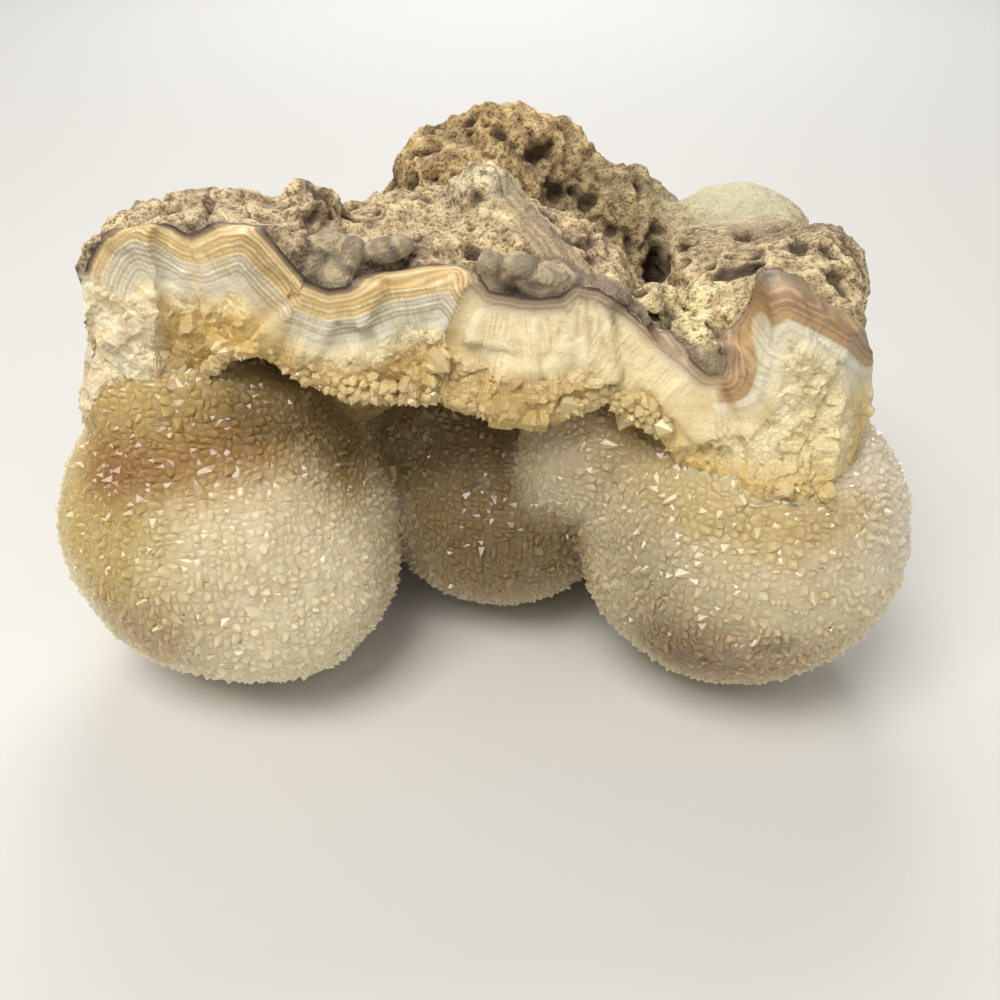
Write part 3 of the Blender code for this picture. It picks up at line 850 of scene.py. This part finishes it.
def crystals(name, spots, outward, widths, chance, lean=0.36, tall=0.5):
    """Six-sided quartz crystals with pointed ends, each sunk into the surface and leaning its own way."""
    count = len(spots)
    axis = outward + chance.normal(0, lean, (count, 3))
    axis /= np.sqrt((axis**2).sum(-1, keepdims=True))
    side = np.cross(axis, chance.normal(0, 1, (count, 3)))
    side /= np.sqrt((side**2).sum(-1, keepdims=True))
    third = np.cross(axis, side)
    radius = widths * chance.uniform(0.55, 0.9, count) * np.where(chance.random(count) < 0.06, 1.9, 1.0)
    shoulder = radius * chance.uniform(-0.6, tall, count)
    tip = shoulder + radius * chance.uniform(0.9, 1.3, count)
    foot = -radius * 1.2 - 0.8
    corners = np.zeros((count, 13, 3))
    for step in range(6):
        angle = step * math.pi / 3
        wide = radius * chance.uniform(0.8, 1.15, count)
        flat = side * (np.cos(angle) * wide)[:, None] + third * (np.sin(angle) * wide)[:, None]
        uneven = shoulder + radius * chance.uniform(-0.22, 0.22, count)
        corners[:, step] = spots + flat + axis * foot[:, None]
        corners[:, 6 + step] = spots + flat + axis * uneven[:, None]
    off = chance.uniform(-0.38, 0.38, (2, count)) * radius
    corners[:, 12] = spots + axis * tip[:, None] + side * off[0][:, None] + third * off[1][:, None]
    start = np.arange(count)[:, None] * 13
    walls = np.concatenate([start + np.array([[k, (k + 1) % 6, 6 + (k + 1) % 6, 6 + k]]) for k in range(6)])
    tips = np.concatenate([start + np.array([[6 + k, 6 + (k + 1) % 6, 12]]) for k in range(6)])
    feet = start + np.array([[5, 4, 3, 2, 1, 0]])
    made = new_object(name, held_in_box(corners.reshape(-1, 3)), [walls, tips, feet], False)
    shade = 1 + chance.normal(0, 0.06, count)
    colour = np.clip(np.array(HANGING) * shade[:, None], 0, 1)
    give(made, "tint", np.repeat(colour, 13, 0))
    give(made, "clear", np.repeat(chance.random(count), 13))
    return made


def lower_edge(points, front):
    """The height of the lowest point of the broken face, at each point's X."""
    strip = np.clip(((points[:, 0] + 80.0) / 2.0).astype(int), 0, 79)
    lowest = np.full(80, 99.0)
    on_face = (front > -1.5) & (front < 1.5)
    np.minimum.at(lowest, strip[on_face], points[on_face, 2])
    return lowest[strip]


def brow_edge(points, facing, depth):
    """Where single crystals grow on the wall: under the brow and along its lower edge."""
    front = front_face(points)
    clear = (balls(points) > -0.6) & (depth > 5.0) & (points[:, 2] < 73.0)
    under = (facing[:, 2] < -0.1) & (points[:, 1] < 10.0)
    edge = (np.abs(front) < 3.0) & (points[:, 2] < lower_edge(points, front) + 5.0 + noise(points, 5.0, 211) * 2.0)
    return clear & (under | edge)


def main():
    chance = np.random.default_rng(5)
    stone = wall_material()
    quartz = crystal_material()
    wall, points, quads, facing, depth = make_wall()
    dress(wall, stone, "geode_wall")
    crust = make_crust(chance)
    dress(crust, quartz, "druzy_crust")
    allowed = brow_edge(points, facing, depth)
    hanging = scattered(points, quads, facing, allowed, lambda spots: np.full(len(spots), 1.2), chance, 40000)
    points_of_quartz = crystals("druzy_crust_brow", *hanging, chance)
    dress(points_of_quartz, point_material(), "druzy_crust")
    print("PIECE", len(hanging[0]))
    studio()


def dress(piece, material, node):
    """Gives a piece its material and its body, and hides the part of the solids that it stands for."""
    piece.data.materials.append(material)
    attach(piece, "root")
    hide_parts(node)


def new_material(name):
    made = bpy.data.materials.new(name)
    made.use_nodes = True
    return made, made.node_tree, made.node_tree.nodes["Principled BSDF"]


def read(tree, name):
    """The node that reads a number stored on the mesh."""
    node = tree.nodes.new("ShaderNodeAttribute")
    node.attribute_name = name
    return node


def grain(tree, scale, detail=4.0, kind="ShaderNodeTexNoise"):
    """A noise node in object space; scale is in lumps a metre."""
    node = tree.nodes.new(kind)
    place = tree.nodes.new("ShaderNodeTexCoord")
    tree.links.new(place.outputs["Object"], node.inputs["Vector"])
    node.inputs["Scale"].default_value = scale
    if kind == "ShaderNodeTexNoise":
        node.inputs["Detail"].default_value = detail
    return node


def maths(tree, operation, first, second):
    node = tree.nodes.new("ShaderNodeMath")
    node.operation = operation
    for socket, value in zip(node.inputs, (first, second)):
        if isinstance(value, (int, float)):
            socket.default_value = value
        else:
            tree.links.new(value, socket)
    return node.outputs[0]


def between(tree, amount, first, second, blend="MIX"):
    """Two colours mixed by an amount."""
    node = tree.nodes.new("ShaderNodeMix")
    node.data_type = "RGBA"
    node.blend_type = blend
    for socket, value in ((node.inputs[0], amount), (node.inputs[6], first), (node.inputs[7], second)):
        if isinstance(value, (int, float)):
            socket.default_value = value
        elif isinstance(value, tuple):
            socket.default_value = (*value, 1.0)
        else:
            tree.links.new(value, socket)
    return node.outputs[2]


def colours(tree, value, stops, scale=1.0):
    """A colour for each value, from stops of (value, colour)."""
    node = tree.nodes.new("ShaderNodeValToRGB")
    last = stops[-1][0]
    ramp_stops = node.color_ramp.elements
    while len(ramp_stops) < len(stops):
        ramp_stops.new(0.5)
    for stop, (place, colour) in zip(ramp_stops, stops):
        stop.position = place / last
        stop.color = (*colour, 1.0)
    tree.links.new(maths(tree, "DIVIDE", value, float(last)), node.inputs[0])
    return node.outputs[0]


def bumped(tree, shader, height, strength, distance):
    node = tree.nodes.new("ShaderNodeBump")
    node.inputs["Strength"].default_value = strength
    node.inputs["Distance"].default_value = distance
    tree.links.new(height, node.inputs["Height"])
    tree.links.new(node.outputs[0], shader.inputs["Normal"])
    return node


NONE = (1.0, 1.0, 1.0)
DARK = (0.075, 0.050, 0.035)
MAUVE = (0.30, 0.225, 0.15)
GOLD = (0.76, 0.555, 0.255)
SAND = (0.90, 0.77, 0.47)
BLUE = (0.71, 0.675, 0.545)
PALE = (0.88, 0.84, 0.68)
CREAM = (0.92, 0.81, 0.53)
QUARTZ = (0.66, 0.49, 0.22)
OLIVE_QUARTZ = (0.55, 0.41, 0.16)
RUST = (0.33, 0.20, 0.11)
TAN = (0.50, 0.35, 0.20)
ORANGE = (0.50, 0.33, 0.16)


def pattern(tree, first, second, kind="ShaderNodeTexNoise"):
    """A texture read along two numbers stored on the mesh."""
    place = tree.nodes.new("ShaderNodeCombineXYZ")
    tree.links.new(first, place.inputs[0])
    tree.links.new(second, place.inputs[1])
    node = tree.nodes.new(kind)
    node.inputs["Scale"].default_value = 1.0
    tree.links.new(place.outputs[0], node.inputs["Vector"])
    return node.outputs["Fac"]


def agate_colour(tree, depth, deep, quartz):
    left = colours(tree, deep, (
        (0.0, DARK), (0.35, DARK), (0.8, MAUVE), (1.3, GOLD), (1.9, SAND), (2.3, GOLD), (3.0, GOLD), (3.6, SAND),
        (4.1, GOLD), (4.9, SAND), (5.4, PALE), (5.9, BLUE), (6.5, PALE), (7.1, BLUE), (7.8, BLUE), (8.4, PALE),
        (9.1, BLUE), (9.8, PALE), (10.6, CREAM), (11.5, CREAM), (14.5, QUARTZ), (22.0, OLIVE_QUARTZ),
    ))
    middle = colours(tree, deep, (
        (0.0, DARK), (0.5, MAUVE), (1.0, (0.50, 0.41, 0.29)), (1.6, (0.42, 0.33, 0.22)), (2.4, (0.68, 0.58, 0.40)),
        (3.6, CREAM), (10.0, CREAM), (15.0, QUARTZ), (24.0, OLIVE_QUARTZ),
    ))
    right = colours(tree, deep, (
        (0.0, DARK), (0.5, MAUVE), (0.8, RUST), (1.1, TAN), (1.35, RUST), (1.7, RUST), (1.95, TAN), (2.2, RUST),
        (2.6, RUST), (2.85, TAN), (3.1, RUST), (3.5, ORANGE), (3.8, TAN), (4.2, ORANGE),
        (4.5, BLUE), (5.2, PALE), (5.8, BLUE), (6.8, (0.88, 0.80, 0.55)),
        (14.0, (0.86, 0.75, 0.45)), (24.0, (0.80, 0.67, 0.38)),
    ))
    near_left = colours(tree, grain(tree, 260.0, 5.0).outputs["Fac"], (
        (0.0, (0.62, 0.47, 0.27)), (0.42, (0.85, 0.73, 0.49)), (0.6, (0.92, 0.84, 0.61)), (1.0, (0.93, 0.88, 0.71)),
    ))
    agate = between(tree, read(tree, "middle_part").outputs["Fac"], left, middle)
    agate = between(tree, read(tree, "right_part").outputs["Fac"], agate, right)
    agate = between(tree, read(tree, "near_part").outputs["Fac"], agate, near_left)
    fine = maths(tree, "SINE", maths(tree, "ADD", maths(tree, "MULTIPLY", deep, 8.4), 0.0), 0.0)
    fine = maths(tree, "MULTIPLY", maths(tree, "ADD", fine, 1.0), read(tree, "laminae").outputs["Fac"])
    agate = between(tree, maths(tree, "MULTIPLY", fine, 0.40), agate, (0.62, 0.54, 0.44), "MULTIPLY")
    along = read(tree, "along").outputs["Fac"]
    columns = pattern(tree, maths(tree, "MULTIPLY", along, 1.6), maths(tree, "MULTIPLY", depth, 0.16))
    past_bands = maths(tree, "MINIMUM", maths(tree, "MAXIMUM", maths(tree, "SUBTRACT", depth, 2.5), 0.0), 1.0)
    agate = between(tree, maths(tree, "MULTIPLY", past_bands, 0.6), agate, colours(tree, columns, (
        (0.0, (0.50, 0.40, 0.26)), (0.40, (0.80, 0.73, 0.58)), (0.52, NONE), (1.0, NONE),
    )), "MULTIPLY")
    edges = grain(tree, 1250.0, kind="ShaderNodeTexVoronoi")
    edges.feature = "DISTANCE_TO_EDGE"
    joints = colours(tree, edges.outputs["Distance"], (
        (0.0, (0.48, 0.37, 0.22)), (0.10, (0.80, 0.73, 0.60)), (0.25, NONE), (1.0, (1.08, 1.06, 1.02)),
    ))
    seen = maths(tree, "ADD", maths(tree, "MULTIPLY", past_bands, 0.15), maths(tree, "MULTIPLY", quartz, 0.20))
    agate = between(tree, seen, agate, joints, "MULTIPLY")
    return between(tree, read(tree, "darkened").outputs["Fac"], agate, (0.52, 0.42, 0.32), "MULTIPLY")


def wall_material():
    made, tree, shader = new_material("wall_stone_looks")
    depth = read(tree, "depth").outputs["Fac"]
    bend = grain(tree, 160.0, 3.0).outputs["Fac"]
    cloud = grain(tree, 330.0, 5.0).outputs["Fac"]
    coarse = grain(tree, 800.0, 6.0).outputs["Fac"]
    grit = grain(tree, 2000.0, 3.0).outputs["Fac"]
    fine = maths(tree, "ADD", maths(tree, "MULTIPLY", coarse, 0.5), maths(tree, "MULTIPLY", grit, 0.5))
    deep = maths(tree, "ADD", depth, maths(tree, "MULTIPLY", maths(tree, "SUBTRACT", bend, 0.5), 0.7))
    deep = maths(tree, "MAXIMUM", deep, 0.0)
    quartz = read(tree, "grainy").outputs["Fac"]
    agate = agate_colour(tree, depth, deep, quartz)
    agate = between(tree, 0.45, agate, colours(tree, cloud, (
        (0.0, (0.50, 0.42, 0.30)), (0.42, (0.84, 0.79, 0.68)), (0.58, NONE), (1.0, NONE),
    )), "MULTIPLY")
    stain = maths(tree, "MULTIPLY", read(tree, "stain").outputs["Fac"], maths(tree, "ADD", cloud, 0.35))
    agate = between(tree, stain, agate, (0.62, 0.42, 0.13))
    rind = rind_colour(tree, cloud, fine)
    is_rind = maths(tree, "LESS_THAN", maths(tree, "ADD", depth, maths(tree, "MULTIPLY", bend, 0.6)), 0.25)
    tree.links.new(between(tree, is_rind, agate, rind), shader.inputs["Base Color"])
    shine = maths(tree, "ADD", maths(tree, "MULTIPLY", is_rind, 0.30), maths(tree, "MULTIPLY", cloud, 0.98))
    tree.links.new(shine, shader.inputs["Roughness"])
    height = maths(tree, "ADD", fine, maths(tree, "MULTIPLY", cloud, 1.5))
    bump = bumped(tree, shader, maths(tree, "MULTIPLY", height, maths(tree, "ADD", is_rind, 0.4)), 0.8, 0.0010)
    tree.links.new(faceted(tree, 520.0, maths(tree, "MULTIPLY", quartz, 0.75)), bump.inputs["Normal"])
    return made


def rind_colour(tree, cloud, fine):
    """Rough stone: its own colour, mottled, and with fine lines where it is layered; darker in the hollows, which is
    painted shade in the low spots, pores and folds, and partly a dark deposit in the pits.
    """
    mottle = colours(tree, cloud, (
        (0.0, (0.16, 0.12, 0.08)), (0.38, (0.55, 0.47, 0.38)), (0.50, (0.95, 0.91, 0.84)), (0.64, (1.25, 1.22, 1.15)),
        (1.0, (1.45, 1.42, 1.35)),
    ))
    uneven = maths(tree, "SUBTRACT", 1.0, maths(tree, "MULTIPLY", read(tree, "even").outputs["Fac"], 0.8))
    mottled = maths(tree, "MULTIPLY", uneven, 0.88)
    rind = between(tree, mottled, read(tree, "rind_colour").outputs["Color"], mottle, "MULTIPLY")
    specks = colours(tree, fine, (
        (0.0, (0.10, 0.08, 0.05)), (0.42, (0.28, 0.23, 0.17)), (0.49, (0.86, 0.84, 0.80)), (0.54, (1.05, 1.05, 1.05)),
        (1.0, (1.35, 1.35, 1.35)),
    ))
    rind = between(tree, maths(tree, "MULTIPLY", uneven, 0.84), rind, specks, "MULTIPLY")
    place = maths(tree, "MULTIPLY", read(tree, "lines_at").outputs["Fac"], 7.5)
    place = maths(tree, "ADD", place, maths(tree, "MULTIPLY", cloud, 9.0))
    wave = maths(tree, "MULTIPLY", maths(tree, "ADD", maths(tree, "SINE", place, 0.0), 1.0), 0.5)
    lined = maths(tree, "MULTIPLY", read(tree, "lined").outputs["Fac"], maths(tree, "MULTIPLY", wave, fine))
    rind = between(tree, maths(tree, "MULTIPLY", lined, 1.2), rind, (0.15, 0.115, 0.085))
    # Painted shade in the rind's hollows, partly a dark deposit in the pits
    hollow = maths(tree, "MINIMUM", maths(tree, "MULTIPLY", read(tree, "hollow").outputs["Fac"], 1.0), 0.92)
    return between(tree, hollow, rind, (0.075, 0.048, 0.028))


def faceted(tree, scale, amount):
    """A direction that differs from one small face of the stone to the next."""
    cell = grain(tree, scale, kind="ShaderNodeTexVoronoi")
    geometry = tree.nodes.new("ShaderNodeNewGeometry")
    tilt = tree.nodes.new("ShaderNodeVectorMath")
    tilt.operation = "SUBTRACT"
    tree.links.new(cell.outputs["Color"], tilt.inputs[0])
    tilt.inputs[1].default_value = (0.5, 0.5, 0.5)
    scaled = tree.nodes.new("ShaderNodeVectorMath")
    scaled.operation = "SCALE"
    tree.links.new(tilt.outputs[0], scaled.inputs[0])
    if isinstance(amount, float):
        scaled.inputs["Scale"].default_value = amount
    else:
        tree.links.new(amount, scaled.inputs["Scale"])
    total = tree.nodes.new("ShaderNodeVectorMath")
    total.operation = "ADD"
    tree.links.new(geometry.outputs["Normal"], total.inputs[0])
    tree.links.new(scaled.outputs[0], total.inputs[1])
    even = tree.nodes.new("ShaderNodeVectorMath")
    even.operation = "NORMALIZE"
    tree.links.new(total.outputs[0], even.inputs[0])
    return even.outputs[0]


def quartz_colour(tree):
    """Milky quartz: its tint, a little cloudy, with tiny dark specks."""
    cloud = grain(tree, 260.0, 4.0).outputs["Fac"]
    mixed = between(tree, 0.5, read(tree, "tint").outputs["Color"], colours(tree, cloud, (
        (0.0, (0.66, 0.60, 0.50)), (0.42, (0.90, 0.88, 0.82)), (0.56, NONE), (1.0, (1.1, 1.1, 1.1)),
    )), "MULTIPLY")
    dots = grain(tree, 190.0, kind="ShaderNodeTexVoronoi")
    speck = maths(tree, "LESS_THAN", dots.outputs["Distance"], 0.045)
    return between(tree, maths(tree, "MULTIPLY", speck, 0.75), mixed, (0.07, 0.055, 0.035))


def crystal_material():
    """The crust, where crystals grow side by side: milky, with light spreading inside."""
    made, tree, shader = new_material("quartz_crust")
    tree.links.new(quartz_colour(tree), shader.inputs["Base Color"])
    cloud = grain(tree, 500.0, 3.0).outputs["Fac"]
    tree.links.new(maths(tree, "ADD", maths(tree, "MULTIPLY", cloud, 0.30), 0.02), shader.inputs["Roughness"])
    shader.inputs["IOR"].default_value = 1.54
    shader.inputs["Subsurface Weight"].default_value = 1.0
    shader.inputs["Subsurface Radius"].default_value = (1.0, 0.9, 0.7)
    shader.inputs["Subsurface Scale"].default_value = 0.0032
    return made


def point_material():
    """Single crystals that stand out of the crust: clearer, so that light goes through their points."""
    made, tree, shader = new_material("quartz_points")
    tree.links.new(quartz_colour(tree), shader.inputs["Base Color"])
    cloud = grain(tree, 500.0, 3.0).outputs["Fac"]
    tree.links.new(maths(tree, "ADD", maths(tree, "MULTIPLY", cloud, 0.20), 0.02), shader.inputs["Roughness"])
    shader.inputs["IOR"].default_value = 1.54
    shader.inputs["Transmission Weight"].default_value = 0.15
    return made


def area_light(name, place, target, size, energy, colour=(1.0, 1.0, 1.0)):
    lamp = bpy.data.lights.new(name, "AREA")
    lamp.size = size
    lamp.energy = energy
    lamp.color = colour
    made = bpy.data.objects.new(name, lamp)
    made.location = place
    made.rotation_euler = (Vector(target) - Vector(place)).to_track_quat("-Z", "Y").to_euler()
    bpy.context.scene.collection.objects.link(made)


CAMERA_PLACE = (0.003, -0.184, 0.144)
CAMERA_PITCH = 34.3


def studio():
    """Camera at the photo's place, a pale floor and soft light."""
    lens = bpy.data.cameras.new("camera")
    lens.sensor_width = 36.0
    lens.lens = 36.0
    lens.clip_start = 0.005
    camera = bpy.data.objects.new("camera", lens)
    camera.location = CAMERA_PLACE
    camera.rotation_euler = (math.radians(90 - CAMERA_PITCH), 0, 0)
    bpy.context.scene.collection.objects.link(camera)
    bpy.context.scene.camera = camera
    bpy.ops.mesh.primitive_plane_add(size=6.0, location=(0, 1.0, 0))
    floor = bpy.context.object
    floor.name = "floor"
    made, tree, shader = new_material("floor_paint")
    shader.inputs["Base Color"].default_value = (0.66, 0.65, 0.62, 1.0)
    shader.inputs["Roughness"].default_value = 0.7
    floor.data.materials.append(made)
    middle = (0.0, -0.01, 0.045)
    area_light("key", (-0.22, -0.28, 0.68), middle, 0.40, 4.6, (1.0, 0.97, 0.92))
    area_light("fill", (0.45, -0.5, 0.40), middle, 0.5, 0.80)
    area_light("back", (0.0, 1.0, 0.9), (0.0, 0.75, 0.0), 0.7, 11.0)
    for place in ((-0.08, -0.45, 0.40), (0.22, -0.30, 0.50), (-0.40, -0.10, 0.30)):
        area_light("glint", place, middle, 0.016, 0.07)
    world = bpy.data.worlds.new("world")
    bpy.context.scene.world = world
    world.use_nodes = True
    world.node_tree.nodes["Background"].inputs[0].default_value = (1.0, 0.99, 0.97, 1.0)
    world.node_tree.nodes["Background"].inputs[1].default_value = 0.27
    bpy.context.scene.view_settings.view_transform = "Standard"


main()
